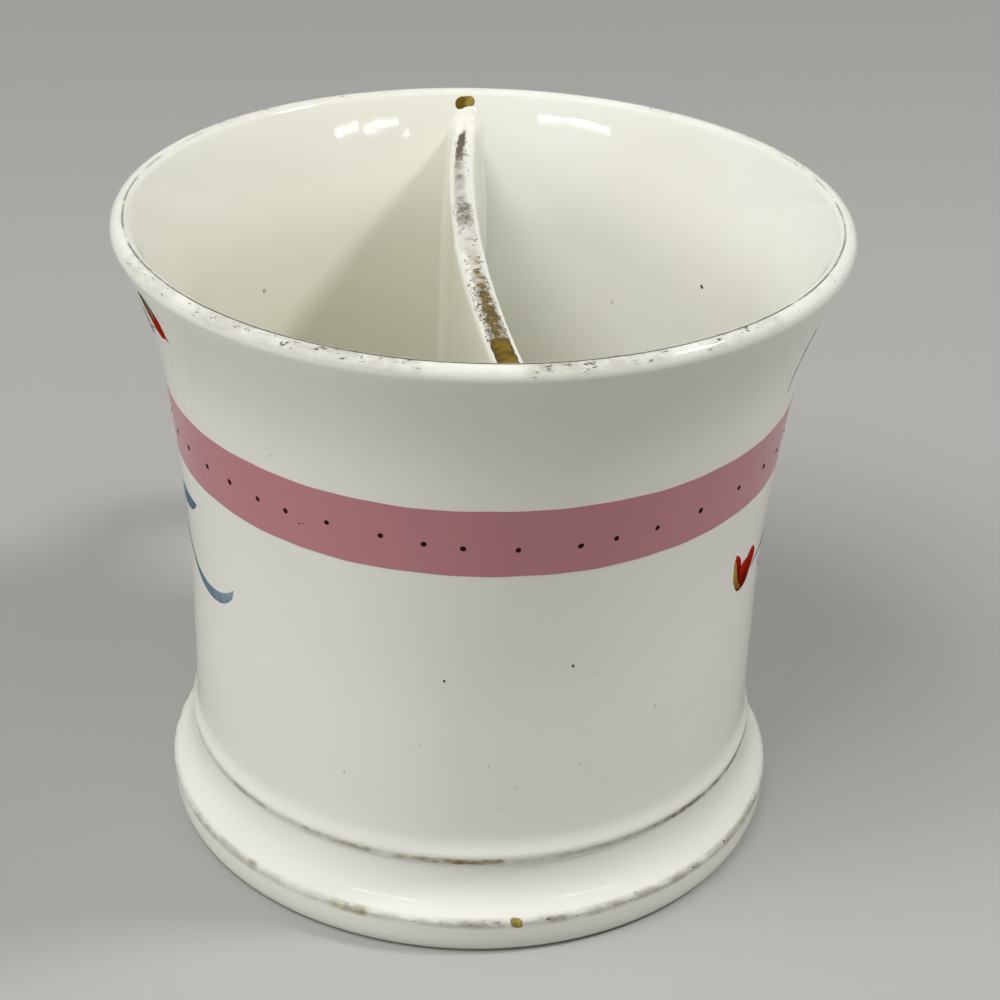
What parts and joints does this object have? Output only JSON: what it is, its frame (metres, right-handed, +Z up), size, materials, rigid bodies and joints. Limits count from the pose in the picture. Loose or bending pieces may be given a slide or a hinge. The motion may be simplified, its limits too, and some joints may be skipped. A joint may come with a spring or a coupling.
{
  "type": "divided shaving mug",
  "caption": "White porcelain shaving mug with a flared lip, stepped foot, ear handle and an upright divider that parts it into a soap side and a brush side.",
  "frame": {"origin": "on the table, under the middle of the footprint with the handle counted in", "axes": "+Z up along the mug's axis, +Y towards the handle, +X to the right seen from the plain front"},
  "size_m": [0.096, 0.118, 0.0882],
  "materials": {
    "porcelain": "clear gloss glaze",
    "pink_enamel": "satin fired enamel",
    "gilding": "worn fired gilding"
  },
  "bodies": {
    "root": {"cup_body": "porcelain", "divider_wall": "porcelain", "handle": "porcelain", "pink_band": "pink_enamel", "rim_gilding": "gilding", "crest_gilding": "gilding", "ridge_gilding": "gilding", "foot_gilding": "gilding"}
  },
  "joints": []
}
